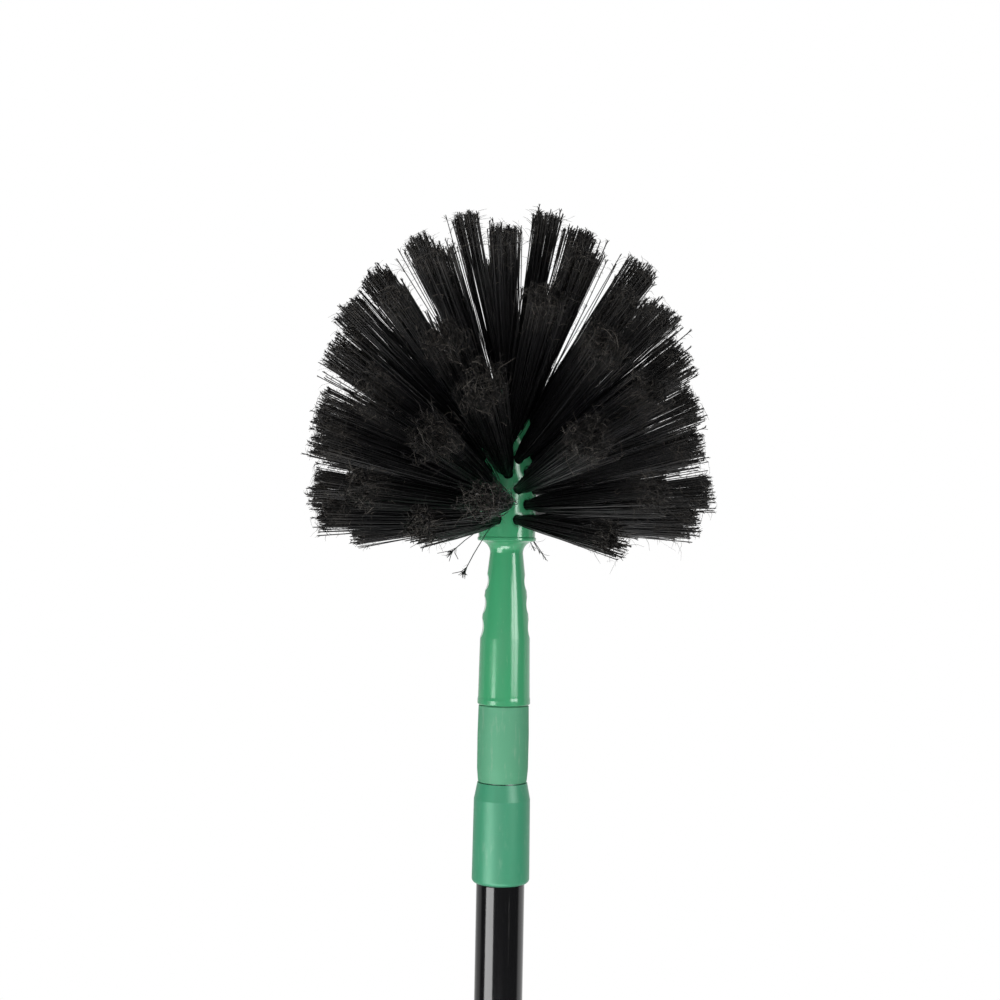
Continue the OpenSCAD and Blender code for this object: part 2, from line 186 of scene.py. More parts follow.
class BrushFinishSettings(bpy.types.PropertyGroup):
    """Colours and gloss of the brush's finishes."""
    core: colour_property("Brush core", "Glossy plastic of the handle and tuft core", tint(68, 165, 114))
    fitting: colour_property("Tip fitting", "Matte plastic of the tip fitting", tint(85, 162, 123))
    collar: colour_property("Collar", "Satin plastic of the twist collar", tint(60, 151, 113))
    enamel: colour_property("Pole enamel", "Paint on the outer tube", tint(15, 15, 17))
    cap: colour_property("End cap", "Plastic of the end cap", tint(26, 26, 28))
    steel: colour_property("Bare steel", "Plated steel of the inner tube", tint(196, 198, 202))
    nylon: colour_property("Nylon", "Plastic of the slide ring", tint(226, 224, 214))
    anchor: colour_property("Anchor wire", "Galvanised wire of the anchors", tint(160, 162, 166))
    bristle: colour_property("Bristle", "Body of a bristle", tint(15, 15, 17))
    bristle_end: colour_property("Bristle end", "Split end of a bristle", tint(122, 116, 108))
    core_gloss: FloatProperty(
        name="Core roughness", description="Roughness of the brush core", default=0.14,
        min=0, max=1, subtype="FACTOR")


class BrushTuftSettings(bpy.types.PropertyGroup):
    """How full and how worn the tufts are."""
    strands: IntProperty(
        name="Bristles", description="Bristles in one tuft", default=96, min=10, max=150)
    hairs: IntProperty(
        name="Hairs", description="Thin curled hairs near each bristle's end", default=5, min=0, max=9)
    prongs: IntProperty(
        name="Prongs", description="Prongs that each bristle's end splits into", default=3, min=0, max=6)
    thickness: FloatProperty(
        name="Thickness", description="Diameter of a bristle", default=0.00052, unit="LENGTH", precision=5)
    hair_thickness: FloatProperty(
        name="Hair thickness", description="Diameter of a split hair", default=0.00017,
        unit="LENGTH", precision=5)
    root: FloatProperty(
        name="Root radius", description="Radius of a tuft in its hole", default=0.0025,
        unit="LENGTH", precision=4)
    spread: FloatProperty(
        name="Spread", description="Radius of a tuft at its ends", default=0.0076,
        unit="LENGTH", precision=4)
    stray_share: FloatProperty(
        name="Strays", description="Share of the bristles that lean out of their tuft",
        default=0.08, min=0, max=1, subtype="FACTOR")
    seed: IntProperty(name="Seed", description="Start of the random numbers", default=11)


class BrushStageSettings(bpy.types.PropertyGroup):
    """Camera, lamps and floor."""
    distance: FloatProperty(
        name="Camera distance", description="From the pole's axis", default=0.834, unit="LENGTH")
    height: FloatProperty(
        name="Camera height", description="Above the foot of the outer tube", default=0.7185,
        unit="LENGTH", precision=4)
    lens: FloatProperty(
        name="Lens", description="Focal length in millimetres", default=57.6)
    pitch: FloatProperty(
        name="Pitch", description="Tilt of the camera above the horizon",
        default=math.radians(1.43), subtype="ANGLE")
    yaw: FloatProperty(
        name="Yaw", description="Turn of the camera about the vertical",
        default=math.radians(0.27), subtype="ANGLE")
    roll: FloatProperty(
        name="Roll", description="Turn of the camera about its own axis",
        default=math.radians(1.083), subtype="ANGLE")
    fill: FloatProperty(
        name="Fill light", description="Level of the even light from all round", default=0.58)
    floor_radius: FloatProperty(
        name="Floor radius", description="Radius of the floor", default=1.5, unit="LENGTH")
    floor_gap: FloatProperty(
        name="Floor gap", description="How far the floor lies under the end cap", default=0.002,
        unit="LENGTH")


class Wire:
    """A shader value. Python's operators on it add the Math nodes."""

    def __init__(self, finish, socket):
        self.finish, self.socket = finish, socket

    def maths(self, operation, *values):
        return self.finish.node("ShaderNodeMath", {"operation": operation}, dict(enumerate(values)))

    def __add__(self, other):
        return self.maths("ADD", self, other)

    def __sub__(self, other):
        return self.maths("SUBTRACT", self, other)

    def __rsub__(self, other):
        return self.maths("SUBTRACT", other, self)

    def __mul__(self, other):
        return self.maths("MULTIPLY", self, other)

    def __pow__(self, other):
        return self.maths("POWER", self, other)

    def __abs__(self):
        return self.maths("ABSOLUTE", self)

    __radd__ = __add__
    __rmul__ = __mul__


class Nodes:
    """The nodes of a material or of the world."""

    place = None

    def __init__(self, owner, output):
        owner.use_nodes = True
        self.tree = owner.node_tree
        self.tree.nodes.clear()
        self.output = self.tree.nodes.new(output)

    def node(self, kind, settings=None, sockets=None, out=0):
        """Adds a node, sets it up, fills its sockets with values or links and returns an output."""
        made = self.tree.nodes.new(kind)
        for key, value in (settings or {}).items():
            setattr(made, key, value)
        for key, value in (sockets or {}).items():
            if isinstance(value, Wire):
                self.tree.links.new(value.socket, made.inputs[key])
            elif value is not None:
                made.inputs[key].default_value = value
        return Wire(self, made.outputs[out])

    def show(self, surface):
        """Links a shader to the output."""
        self.tree.links.new(surface.socket, self.output.inputs["Surface"])

    def mix(self, share, one, other):
        """Colour one where share is 0 and the other where it is 1."""
        def full(colour):
            return (*colour, 1) if isinstance(colour, tuple) else colour
        return self.node(
            "ShaderNodeMix", {"data_type": "RGBA"}, {0: share, 6: full(one), 7: full(other)}, out=2)

    def noise(self, scale, detail=2.0, rough=0.5, place=None):
        """Cloudy values from 0 to 1, finer with a larger scale."""
        return self.node(
            "ShaderNodeTexNoise", None,
            {"Vector": place or self.place, "Scale": scale, "Detail": detail, "Roughness": rough})

    def stretched(self, x, y, z):
        """The place, with each axis scaled."""
        return self.node(
            "ShaderNodeVectorMath", {"operation": "MULTIPLY"}, {0: self.place, 1: (x, y, z)})

    def ramp(self, value, low, high, start=0.0, end=1.0):
        """Goes smoothly from start where value is low to end where it is high."""
        return self.node(
            "ShaderNodeMapRange", {"interpolation_type": "SMOOTHSTEP"},
            {0: value, 1: low, 2: high, 3: start, 4: end})

    def axes(self, place=None):
        """The x, y and z of the place."""
        parts = self.node("ShaderNodeSeparateXYZ", None, {0: place or self.place})
        return [Wire(self, socket) for socket in parts.socket.node.outputs]

    def light_paths(self):
        """1 or 0 each for camera rays, reflected rays and rays through glass."""
        paths = self.node("ShaderNodeLightPath").socket.node.outputs
        rays = ("Is Camera Ray", "Is Glossy Ray", "Is Transmission Ray")
        return [Wire(self, paths[name]) for name in rays]


class Finish(Nodes):
    """A material with one principled shader, whose sockets are given by name with underscores."""

    def __init__(self, name, **fixed):
        self.material = bpy.data.materials.new(name)
        super().__init__(self.material, "ShaderNodeOutputMaterial")
        self.shader = self.tree.nodes.new("ShaderNodeBsdfPrincipled")
        self.show(Wire(self, self.shader.outputs[0]))
        for socket, value in fixed.items():
            self.shader.inputs[self.label(socket)].default_value = value
        self.place = self.node("ShaderNodeTexCoord", out="Object")
        self.relief = None

    @staticmethod
    def label(socket):
        """The shader's own name for a socket."""
        return socket.replace("_", " ").title().replace("Ior", "IOR")

    def parting_line(self, angle):
        """1 on the line that the two halves of a mould leave, 0 away from it."""
        x, y, _ = self.axes()
        return self.ramp(abs(x * math.sin(angle) - y * math.cos(angle)), *PARTING_LINE, 1, 0)

    def emboss(self, height, strength, depth):
        """Adds relief on top of what is there already."""
        sockets = {"Strength": strength, "Distance": depth, "Height": height}
        if self.relief:
            sockets["Normal"] = self.relief
        self.relief = self.node("ShaderNodeBump", None, sockets)

    def done(self, **varied):
        """Links what varies over the surface, and returns the material."""
        for socket, wire in varied.items():
            self.tree.links.new(wire.socket, self.shader.inputs[self.label(socket)])
        if self.relief:
            self.tree.links.new(self.relief.socket, self.shader.inputs["Normal"])
        return self.material


def darker(colour, share):
    """The colour scaled. A share over 1 makes it lighter."""
    return tuple(channel * share for channel in colour)


def core_plastic(settings):
    """Glossy moulded plastic with a parting line, faint flow marks and fine scratches."""
    finish = Finish("core_plastic", ior=1.5)
    colour = tuple(settings.core)
    cloud = finish.noise(24, 3)
    flow = finish.noise(1, 3, place=finish.stretched(260, 260, 30))
    shade = finish.mix(finish.ramp(cloud, 0.3, 0.7, 0, 0.6), colour, darker(colour, 0.93))
    shade = finish.mix(finish.ramp(flow, 0.55, 0.75, 0, 0.25), shade, darker(colour, 1.12))
    specks = finish.ramp(finish.noise(950, 2), 0.72, 0.76)
    shade = finish.mix(specks * 0.35, shade, darker(colour, 0.5))
    scratches = finish.ramp(finish.noise(1, 3, 0.6, finish.stretched(1700, 1700, 130)), 0.62, 0.7)
    gloss = settings.core_gloss + finish.ramp(cloud, 0.4, 0.8, 0, 0.1)
    gloss = gloss + scratches * 0.12 + specks * 0.2
    finish.emboss(finish.parting_line(math.radians(-68)), 0.5, 0.0001)
    finish.emboss(finish.noise(240, 2), 0.1, 0.0003)
    finish.emboss(scratches, 0.06, 0.00002)
    return finish.done(base_color=shade, roughness=gloss)


def fitting_plastic(settings):
    """Matte plastic from a spark-textured mould, with rubbed patches and pale scrapes."""
    finish = Finish("fitting_plastic", ior=1.46, specular_ior_level=0.27)
    colour = tuple(settings.fitting)
    grain = finish.noise(2600, 2, 0.6)
    cloud = finish.noise(32, 4)
    rub = finish.ramp(finish.noise(1, 3, 0.6, finish.stretched(120, 120, 420)), 0.55, 0.75)
    shade = finish.mix(finish.ramp(cloud, 0.3, 0.7, 0, 0.6), colour, darker(colour, 0.93))
    scrape = finish.ramp(finish.noise(1, 4, 0.65, finish.stretched(420, 420, 70)), 0.54, 0.72)
    shade = finish.mix(rub * 0.2, shade, darker(colour, 1.14))
    shade = finish.mix(scrape * 0.3, shade, tint(146, 178, 154))
    shade = finish.mix(finish.ramp(grain, 0.3, 0.7, 0, 0.14), shade, darker(colour, 0.75))
    finish.emboss(grain, 0.3, 0.00008)
    return finish.done(base_color=shade, roughness=0.56 + cloud * 0.1 - rub * 0.16)


def collar_plastic(settings):
    """Satin plastic with a parting line, slight rubbing and pale scrapes."""
    finish = Finish("collar_plastic", ior=1.48, specular_ior_level=0.31)
    colour = tuple(settings.collar)
    cloud = finish.noise(26, 4)
    grain = finish.noise(1500, 2, 0.6)
    rub = finish.ramp(finish.noise(1, 4, 0.6, finish.stretched(90, 90, 500)), 0.56, 0.74)
    shade = finish.mix(finish.ramp(cloud, 0.3, 0.7, 0, 0.6), colour, darker(colour, 0.94))
    scrape = finish.ramp(finish.noise(1, 4, 0.65, finish.stretched(300, 300, 60)), 0.54, 0.72)
    shade = finish.mix(rub * 0.16, shade, darker(colour, 1.12))
    shade = finish.mix(scrape * 0.2, shade, tint(138, 180, 156))
    finish.emboss(finish.parting_line(2.6), 0.4, 0.0001)
    finish.emboss(grain, 0.14, 0.00005)
    return finish.done(base_color=shade, roughness=0.33 + cloud * 0.12 - rub * 0.08)


def black_enamel(settings):
    """Gloss paint on a drawn tube, with orange peel, dust and fine scuffs along it."""
    finish = Finish("black_enamel", ior=1.5)
    colour = tuple(settings.enamel)
    cloud = finish.noise(14, 3)
    dust = finish.ramp(finish.noise(1400, 2), 0.7, 0.76)
    scuff = finish.ramp(finish.noise(1, 4, 0.65, finish.stretched(1500, 1500, 26)), 0.63, 0.72)
    shade = finish.mix(finish.ramp(cloud, 0.3, 0.7, 0, 0.5), colour, darker(colour, 0.7))
    shade = finish.mix(scuff * 0.3 + dust * 0.25, shade, tint(58, 57, 55))
    finish.emboss(finish.noise(330, 2), 0.05, 0.0002)
    finish.emboss(scuff, 0.05, 0.00002)
    return finish.done(base_color=shade, roughness=0.1 + cloud * 0.05 + scuff * 0.2 + dust * 0.15)


def cap_plastic(settings):
    """Moulded black plastic with a fine grain and pale rubbed spots."""
    finish = Finish("black_plastic", ior=1.46)
    colour = tuple(settings.cap)
    grain = finish.noise(1900, 2, 0.6)
    cloud = finish.noise(60, 4)
    rub = finish.ramp(cloud, 0.56, 0.74)
    shade = finish.mix(rub * 0.4, colour, tint(52, 52, 52))
    finish.emboss(grain, 0.3, 0.00006)
    return finish.done(base_color=shade, roughness=0.46 + grain * 0.12 - rub * 0.08)


def bright_steel(settings):
    """Plated tube with draw lines along it and rings where the bush has run."""
    finish = Finish("bright_steel", metallic=1.0)
    colour = tuple(settings.steel)
    lines = finish.noise(1, 4, 0.6, finish.stretched(2600, 2600, 9))
    rings = finish.noise(1, 3, 0.6, finish.stretched(14, 14, 900))
    haze = finish.noise(30, 3)
    shade = finish.mix(finish.ramp(lines, 0.35, 0.7, 0, 0.45), colour, darker(colour, 0.72))
    shade = finish.mix(finish.ramp(haze, 0.5, 0.8, 0, 0.3), shade, darker(colour, 0.8))
    gloss = 0.22 + lines * 0.12 + finish.ramp(rings, 0.6, 0.8, 0, 0.1)
    finish.emboss(lines, 0.06, 0.00002)
    return finish.done(base_color=shade, roughness=gloss)


def white_nylon(settings):
    """Milky moulded nylon with cloudy greyed patches."""
    finish = Finish(
        "white_nylon", ior=1.53, subsurface_weight=0.12, subsurface_radius=(0.002, 0.002, 0.0015))
    colour = tuple(settings.nylon)
    cloud = finish.noise(160, 4)
    shade = finish.mix(finish.ramp(cloud, 0.4, 0.75, 0, 0.5), colour, darker(colour, 0.78))
    finish.emboss(finish.noise(1800, 2), 0.15, 0.00004)
    return finish.done(base_color=shade, roughness=0.34 + cloud * 0.14)


def anchor_wire(settings):
    """Flat galvanised wire, dull and finely drawn."""
    finish = Finish("anchor_wire", metallic=1.0)
    colour = tuple(settings.anchor)
    lines = finish.noise(1, 3, 0.6, finish.stretched(3200, 3200, 900))
    spangle = finish.noise(700, 3)
    shade = finish.mix(finish.ramp(spangle, 0.35, 0.7), colour, tint(118, 120, 124))
    finish.emboss(lines, 0.12, 0.00002)
    return finish.done(base_color=shade, roughness=0.32 + lines * 0.18)


def bristle_fibre(settings, name="split_fibre", pale=1.0):
    """Black fibre whose split ends turn brown and dull. Some bristles have more sheen than others."""
    finish = Finish(name, ior=1.5, specular_ior_level=0.25, coat_roughness=0.3)
    end = finish.node("ShaderNodeAttribute", {"attribute_name": "end"}, out="Fac")
    strand = finish.node("ShaderNodeAttribute", {"attribute_name": "strand"}, out="Fac")
    dark = tuple(settings.bristle)
    split = tuple(settings.bristle_end)
    shade = finish.mix(strand, darker(dark, 0.6), darker(dark, 1.5))
    worn = finish.ramp(end, 0.2, 1.0) * (0.15 + strand ** 2 * 0.85) * pale
    shade = finish.mix(worn, shade, split)
    patch = finish.ramp(finish.noise(130, 3), 0.35, 0.65)
    shade = finish.mix(patch * 0.6, shade, darker(dark, 0.5))
    finish.emboss(finish.noise(1500), 0.1, 0.00003)
    sheen = finish.ramp(strand, 0.45, 1.0, 0, 0.6) * finish.ramp(end, 0.1, 0.5, 1, 0)
    return finish.done(base_color=shade, roughness=0.34 + end * 0.32, coat_weight=sheen)


class Fibres:
    """Collects thin tubes and turns them into one mesh."""

    SIDES = 3
    MARGIN = 0.1  # empty share of a map cell at each side

    def __init__(self):
        self.points, self.faces = [], []
        self.cells, self.corners = [], []
        self.ends, self.strands = [], []
        self.point_count = self.tube_count = 0

    def add(self, paths, radii, ends, strands):
        """Adds tubes of one number of points, with a strand value each.

        paths is (tubes, points, 3), radii and ends are (tubes, points), strands is (tubes,).
        """
        tubes, steps = paths.shape[:2]
        sides = self.SIDES
        along = np.gradient(paths, axis=1)
        along /= np.linalg.norm(along, axis=2, keepdims=True)
        spare = np.where(np.abs(along[:, :1, 2:]) > 0.8, [[[1.0, 0, 0]]], [[[0, 0, 1.0]]])
        across = np.cross(along, spare)
        across /= np.linalg.norm(across, axis=2, keepdims=True)
        other = np.cross(along, across)
        turn = np.arange(sides) * 2 * math.pi / sides
        ring = across[:, :, None] * np.cos(turn)[:, None] + other[:, :, None] * np.sin(turn)[:, None]
        points = paths[:, :, None] + ring * radii[:, :, None, None]
        base = self.point_count + np.arange(tubes)[:, None, None] * steps * sides
        step = np.arange(steps - 1)[None, :, None] * sides
        side = np.arange(sides)[None, None, :]
        near = base + step + side
        beside = base + step + (side + 1) % sides
        quads = np.stack([near, beside, beside + sides, near + sides], axis=-1).reshape(-1, 4)
        self.points.append(points.reshape(-1, 3))
        self.faces.append(quads)
        low = np.broadcast_to(np.arange(steps - 1)[None, :, None], near.shape) / (steps - 1)
        high = low + 1 / (steps - 1)
        left = np.broadcast_to(side, near.shape) / sides
        right = left + 1 / sides
        tube = np.broadcast_to(np.arange(tubes)[:, None, None], near.shape) + self.tube_count
        corner = np.stack([
            np.stack([left, low], -1), np.stack([right, low], -1),
            np.stack([right, high], -1), np.stack([left, high], -1)], axis=-2)
        self.cells.append(np.broadcast_to(tube[..., None], corner.shape[:-1]).reshape(-1))
        self.corners.append(corner.reshape(-1, 2))
        self.ends.append(np.repeat(ends.reshape(-1), sides))
        self.strands.append(np.repeat(strands, steps * sides))
        self.point_count += tubes * steps * sides
        self.tube_count += tubes

    def build(self, name, material, body="head"):
        """One object of all the tubes. Each tube has its own cell of the OFBake map."""
        points = np.concatenate(self.points)
        faces = np.concatenate(self.faces)
        mesh = bpy.data.meshes.new(name)
        mesh.vertices.add(len(points))
        mesh.vertices.foreach_set("co", points.astype(np.float32).ravel())
        mesh.loops.add(len(faces) * 4)
        mesh.loops.foreach_set("vertex_index", faces.astype(np.int32).ravel())
        mesh.polygons.add(len(faces))
        mesh.polygons.foreach_set("loop_start", np.arange(0, len(faces) * 4, 4, dtype=np.int32))
        mesh.polygons.foreach_set("loop_total", np.full(len(faces), 4, dtype=np.int32))
        mesh.polygons.foreach_set("use_smooth", np.ones(len(faces), dtype=bool))
        mesh.update(calc_edges=True)
        grid = math.ceil(math.sqrt(self.tube_count))
        cell = np.concatenate(self.cells)
        inner = self.MARGIN + np.concatenate(self.corners) * (1 - 2 * self.MARGIN)
        uv = (np.stack([cell % grid, cell // grid], axis=-1) + inner) / grid
        mesh.uv_layers.new(name="OFBake").data.foreach_set("uv", uv.astype(np.float32).ravel())
        for label, values in (("end", self.ends), ("strand", self.strands)):
            mesh.attributes.new(label, "FLOAT", "POINT").data.foreach_set(
                "value", np.concatenate(values).astype(np.float32))
        mesh.materials.append(material)
        made = bpy.data.objects.new(name, mesh)
        bpy.context.scene.collection.objects.link(made)
        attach(made, body)
        return made


def core_radius(height):
    """Radius of the tuft core at a height above the flange."""
    if height <= DRUM_HEIGHT:
        return DRUM_RADIUS
    if height <= CAP_HEIGHT:
        draw = DRUM_RADIUS - CAP_RADIUS
        arc = ((CAP_HEIGHT - DRUM_HEIGHT) ** 2 + draw ** 2) / (2 * draw)
        return DRUM_RADIUS - (arc - math.sqrt(arc ** 2 - (height - DRUM_HEIGHT) ** 2))
    return math.sqrt(CAP_RADIUS ** 2 - (height - CAP_HEIGHT) ** 2)


def tuft_places(row):
    """Mouth and direction of each tuft hole in a row, counted from 1."""
    k = row - 1
    height = CAP_HEIGHT + TOP_ROW_SHARE * CAP_RADIUS
    if k < len(ROW_SHARE):
        height = ROW_SHARE[k] * CAP_HEIGHT
    radius = core_radius(height)
    for i in range(ROW_TUFTS[k]):
        angle = math.radians(ROW_TURN[k] + i * 360 / ROW_TUFTS[k])
        mouth = np.array([radius * math.cos(angle), radius * math.sin(angle), FLANGE + height])
        turn, tilt = LEANS.get((row, i), (0, 0))
        angle += math.radians(turn)
        lift = math.radians(ROW_TILT[k] + tilt)
        yield mouth, np.array([
            math.cos(lift) * math.cos(angle), math.cos(lift) * math.sin(angle), math.sin(lift)])


def square_to(axis):
    """Two directions square to an axis and to each other."""
    one = np.cross(axis, [0, 0, 1.0] if abs(axis[2]) < 0.9 else [1.0, 0, 0])
    one /= np.linalg.norm(one)
    return one, np.cross(axis, one)


def split_ends(fibres, paths, strands, inward, settings, rng, frayed=1.0):
    """Stubby prongs that each bristle's end splits into, and thin curled hairs that lean inward.

    The more frayed the ends are, the more prongs they have and the longer and straighter these are.
    """
    count = len(paths)
    tip, back = paths[:, -1], paths[:, -2]
    axis = tip - back
    axis /= np.linalg.norm(axis, axis=1, keepdims=True)

    def sideways(pull=0.0):
        lean = rng.normal(0, 1, (count, 3)) + inward * pull
        lean -= axis * np.sum(lean * axis, axis=1, keepdims=True)
        return lean / np.linalg.norm(lean, axis=1, keepdims=True)

    for _ in range(round(settings.prongs * frayed ** 1.3)):
        start = rng.uniform(*PRONG_START, (count, 1)) * frayed ** 0.7
        root, lean = tip - axis * start, sideways()
        angle = np.radians(rng.gamma(2.0, 7.0 / frayed ** 0.2, (count, 1)).clip(0, PRONG_SPLAY))
        reach = start + rng.uniform(*PRONG_PAST, (count, 1)) * frayed
        prong = [root + (axis * np.cos(angle * share) + lean * np.sin(angle * share)) * reach * share
                 for share in PRONG_ALONG]
        radii = settings.thickness * rng.uniform(*PRONG_SHARE, (count, 1)) * np.array([PRONG_THICK])
        fibres.add(np.stack(prong, axis=1), radii, np.tile([PRONG_SPLIT], (count, 1)), strands)
    for _ in range(settings.hairs):
        start = rng.gamma(1.7, 0.0055, (count, 1)).clip(*HAIR_START)
        root, lean, other = tip - axis * start, sideways(HAIR_INWARD), sideways()
        reach = rng.gamma(2.0, 0.0013, (count, 1))
        reach = (HAIR_SHORTEST + reach * (1 + (reach / 0.0065) ** 4)).clip(0, HAIR_LONGEST)
        angle = np.radians(rng.uniform(8, 70 / frayed ** 0.5, (count, 1)))
        hair = [root]
        for share in HAIR_ALONG:
            swing = angle * share
            curl = (lean + other * 0.27 * np.sin(share * 3)) * np.sin(swing)
            hair.append(root + (axis * np.cos(swing) * 0.8 + curl) * reach * share)
        hair = np.stack(hair, axis=1)
        over = np.sum((hair - tip[:, None]) * axis[:, None], axis=2, keepdims=True)
        hair -= axis[:, None] * (over - HAIR_PAST * frayed).clip(0, None)
        thick = settings.hair_thickness / 2 * rng.uniform(0.7, 1.3, (count, 1))
        radii = thick * np.array([HAIR_THICK])
        fibres.add(hair, radii, np.tile([HAIR_SPLIT], (count, 1)), rng.random(count))


def grow_tuft(fibres, mouth, axis, row, reach, settings, rng):
    """One tuft, from the floor of its hole to its split ends."""
    count = round(settings.strands * ROW_STRANDS[row - 1])
    one, other = square_to(axis)
    share = np.sqrt((np.arange(count) + 0.5) / count)
    angle = np.arange(count) * GOLDEN_TURN + rng.uniform(*ANY_TURN)
    out = np.cos(angle)[:, None] * one + np.sin(angle)[:, None] * other
    spread = settings.spread * ROW_SPREAD[row - 1] * rng.uniform(0.88, 1.12)
    lobes = 1 + 0.14 * np.sin(2 * angle + rng.uniform(*ANY_TURN))
    lobes = lobes + 0.1 * np.sin(3 * angle + rng.uniform(*ANY_TURN))
    fan = share ** 0.9 * spread * lobes + rng.normal(0, 0.0007, count)
    stray = rng.random(count) < settings.stray_share
    lean = rng.uniform(*STRAY_LEAN, count) * (LOW_STRAY_SHARE if row == 1 else 1)
    fan = np.where(stray, fan + lean, fan)
    length = reach * (1 + rng.normal(0, 0.012, count)) - rng.uniform(0, 0.003, count)
    flat = np.stack([np.cos(angle) * fan, np.sin(angle) * fan], axis=1)
    clumps = rng.normal(0, 0.5, (CLUMPS, 2)) * spread
    nearest = clumps[np.argmin(np.linalg.norm(flat[:, None] - clumps[None], axis=2), axis=1)]
    pull = rng.uniform(0.0, 0.28, (count, 1)) * ~stray[:, None]
    gather = ((nearest - flat) * pull) @ np.stack([one, other])
    bend = rng.normal(0, 0.0011, (count, 3)) + gather
    root = share * (settings.root - settings.thickness / 2)
    paths = np.empty((count, len(ALONG), 3))
    for k, step in enumerate(ALONG):
        if step <= 0:
            paths[:, k] = mouth + axis * step + out * root[:, None]
            continue
        side = root + (fan - root) * step ** 0.66
        paths[:, k] = mouth + axis * (length * step)[:, None] + out * side[:, None] + bend * step ** 2
    strands = rng.random(count)
    thick = settings.thickness / 2 * rng.uniform(0.85, 1.1, (count, 1))
    fibres.add(paths, thick * np.array([THICK_ALONG]), np.tile([SPLIT_ALONG], (count, 1)), strands)
    split_ends(fibres, paths, strands, -out * share[:, None], settings, rng)


def loose_bristle(fibres, mouth, end, settings, rng):
    """One bristle that sags a little on its way from a hole to where it ends."""
    axis = end - mouth
    reach = np.linalg.norm(axis)
    axis /= reach
    sag = np.array([0, 0, rng.uniform(0.0005, 0.002)])
    paths = np.array([[mouth + axis * reach * s + sag * s * (1 - s) * 4 for s in HANGING_ALONG]])
    strands = rng.random(1)
    radii = np.full((1, len(HANGING_ALONG)), settings.thickness / 2)
    fibres.add(paths, radii, np.array([HANGING_SPLIT]), strands)
    split_ends(fibres, paths, strands, np.zeros((1, 3)), settings, rng, HANGING_FRAY * reach)


def lint_curl(fibres, mouth, axis, reach, rng):
    """One thin curl of lint near the ends of a tuft."""
    one, other = square_to(axis)
    centre = (mouth + axis * reach * (1 - rng.gamma(1.5, 0.06))
              + (one * rng.normal() + other * rng.normal()) * LINT_APART)
    heading = rng.normal(0, 1, 3) + axis * 0.4
    heading /= np.linalg.norm(heading)
    side, up = square_to(heading)
    long = rng.uniform(*LINT_LENGTH)
    curl = rng.uniform(*LINT_CURL)
    turns = rng.uniform(1.5, 5.5)
    start = rng.uniform(*ANY_TURN)
    t = np.linspace(-0.5, 0.5, LINT_POINTS)[:, None]
    path = (centre + heading * long * t + side * curl * np.sin(start + turns * t)
            + up * curl * 0.7 * np.cos(start + turns * 1.3 * t))
    radii = np.full((1, LINT_POINTS), LINT_RADIUS)
    fibres.add(path[None], radii, np.full((1, LINT_POINTS), rng.uniform(0.5, 1.0)), rng.random(1))


def fibre_material():
    """The bristles' material, made here if the finishes haven't been given yet."""
    return bpy.data.materials.get("split_fibre") or bristle_fibre(bpy.context.scene.brush_finish)


class BRUSH_OT_finishes(bpy.types.Operator):
    """Gives each carried-over piece its material"""
    bl_idname = "brush.finishes"
    bl_label = "Finishes"

    MAKERS = {
        "core_plastic": core_plastic,
        "fitting_plastic": fitting_plastic,
        "collar_plastic": collar_plastic,
        "black_enamel": black_enamel,
        "black_plastic": cap_plastic,
        "bright_steel": bright_steel,
        "white_nylon": white_nylon,
        "anchor_wire": anchor_wire,
        "split_fibre": bristle_fibre,
    }
    PIECES = {
        "outer_tube": "black_enamel",
        "end_cap": "black_plastic",
        "threaded_ferrule": "collar_plastic",
        "clamp_ring": "fitting_plastic",
        "lock_collar": "collar_plastic",
        "inner_tube": "bright_steel",
        "guide_bush": "fitting_plastic",
        "slide_ring": "white_nylon",
        "tip_fitting": "fitting_plastic",
        "brush_core": "core_plastic",
        "tuft_anchors": "anchor_wire",
    }

    def execute(self, context):
        made = {name: maker(context.scene.brush_finish) for name, maker in self.MAKERS.items()}
        for node, name in self.PIECES.items():
            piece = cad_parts[node]
            if not piece.material_slots:
                raise RuntimeError(f"{node} has no material slot")
            for slot in piece.material_slots:
                slot.material = made[name]
        return {"FINISHED"}


class BRUSH_OT_tufts(bpy.types.Operator):
    """Grows the bristles of all nine rows"""
    bl_idname = "brush.tufts"
    bl_label = "Tufts"

    def execute(self, context):
        settings = context.scene.brush_tufts
        for row in range(1, len(ROW_TUFTS) + 1):
            rng = np.random.default_rng(settings.seed * SEED_STEP + row)
            fibres = Fibres()
            for tuft, (mouth, axis) in enumerate(tuft_places(row)):
                axis = axis + rng.normal(0, TUFT_WANDER, 3)
                axis /= np.linalg.norm(axis)
                reach = ROW_REACH[row - 1] * REACHES.get((row, tuft), 1)
                grow_tuft(fibres, mouth, axis, row, reach, settings, rng)
            made = fibres.build(f"bristles_{row}", fibre_material())
            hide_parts(f"bristle_row_{row}")
        return {"FINISHED"}


class BRUSH_OT_strays(bpy.types.Operator):
    """Adds loose bristles that hang from the lowest row, and lint caught in the ends"""
    bl_idname = "brush.strays"
    bl_label = "Strays and lint"

    def execute(self, context):
        settings = context.scene.brush_tufts
        rng = np.random.default_rng(settings.seed * SEED_STEP + STRAY_SEED)
        mouths = [mouth for mouth, _ in tuft_places(1)]
        hanging = Fibres()
        for tuft, end in HANGING:
            loose_bristle(hanging, mouths[tuft], np.array(end), settings, rng)
        hanging.build("loose_bristles", fibre_material())

        lint = Fibres()
        rows = range(1, len(ROW_TUFTS) + 1)
        tufts = [(row, mouth, axis) for row in rows for mouth, axis in tuft_places(row)]
        for _ in range(LINT_CURLS):
            row, mouth, axis = tufts[rng.integers(len(tufts))]
            lint_curl(lint, mouth, axis, ROW_REACH[row - 1], rng)
        lint.build("lint", bristle_fibre(context.scene.brush_finish, "lint", 1.6))
        return {"FINISHED"}


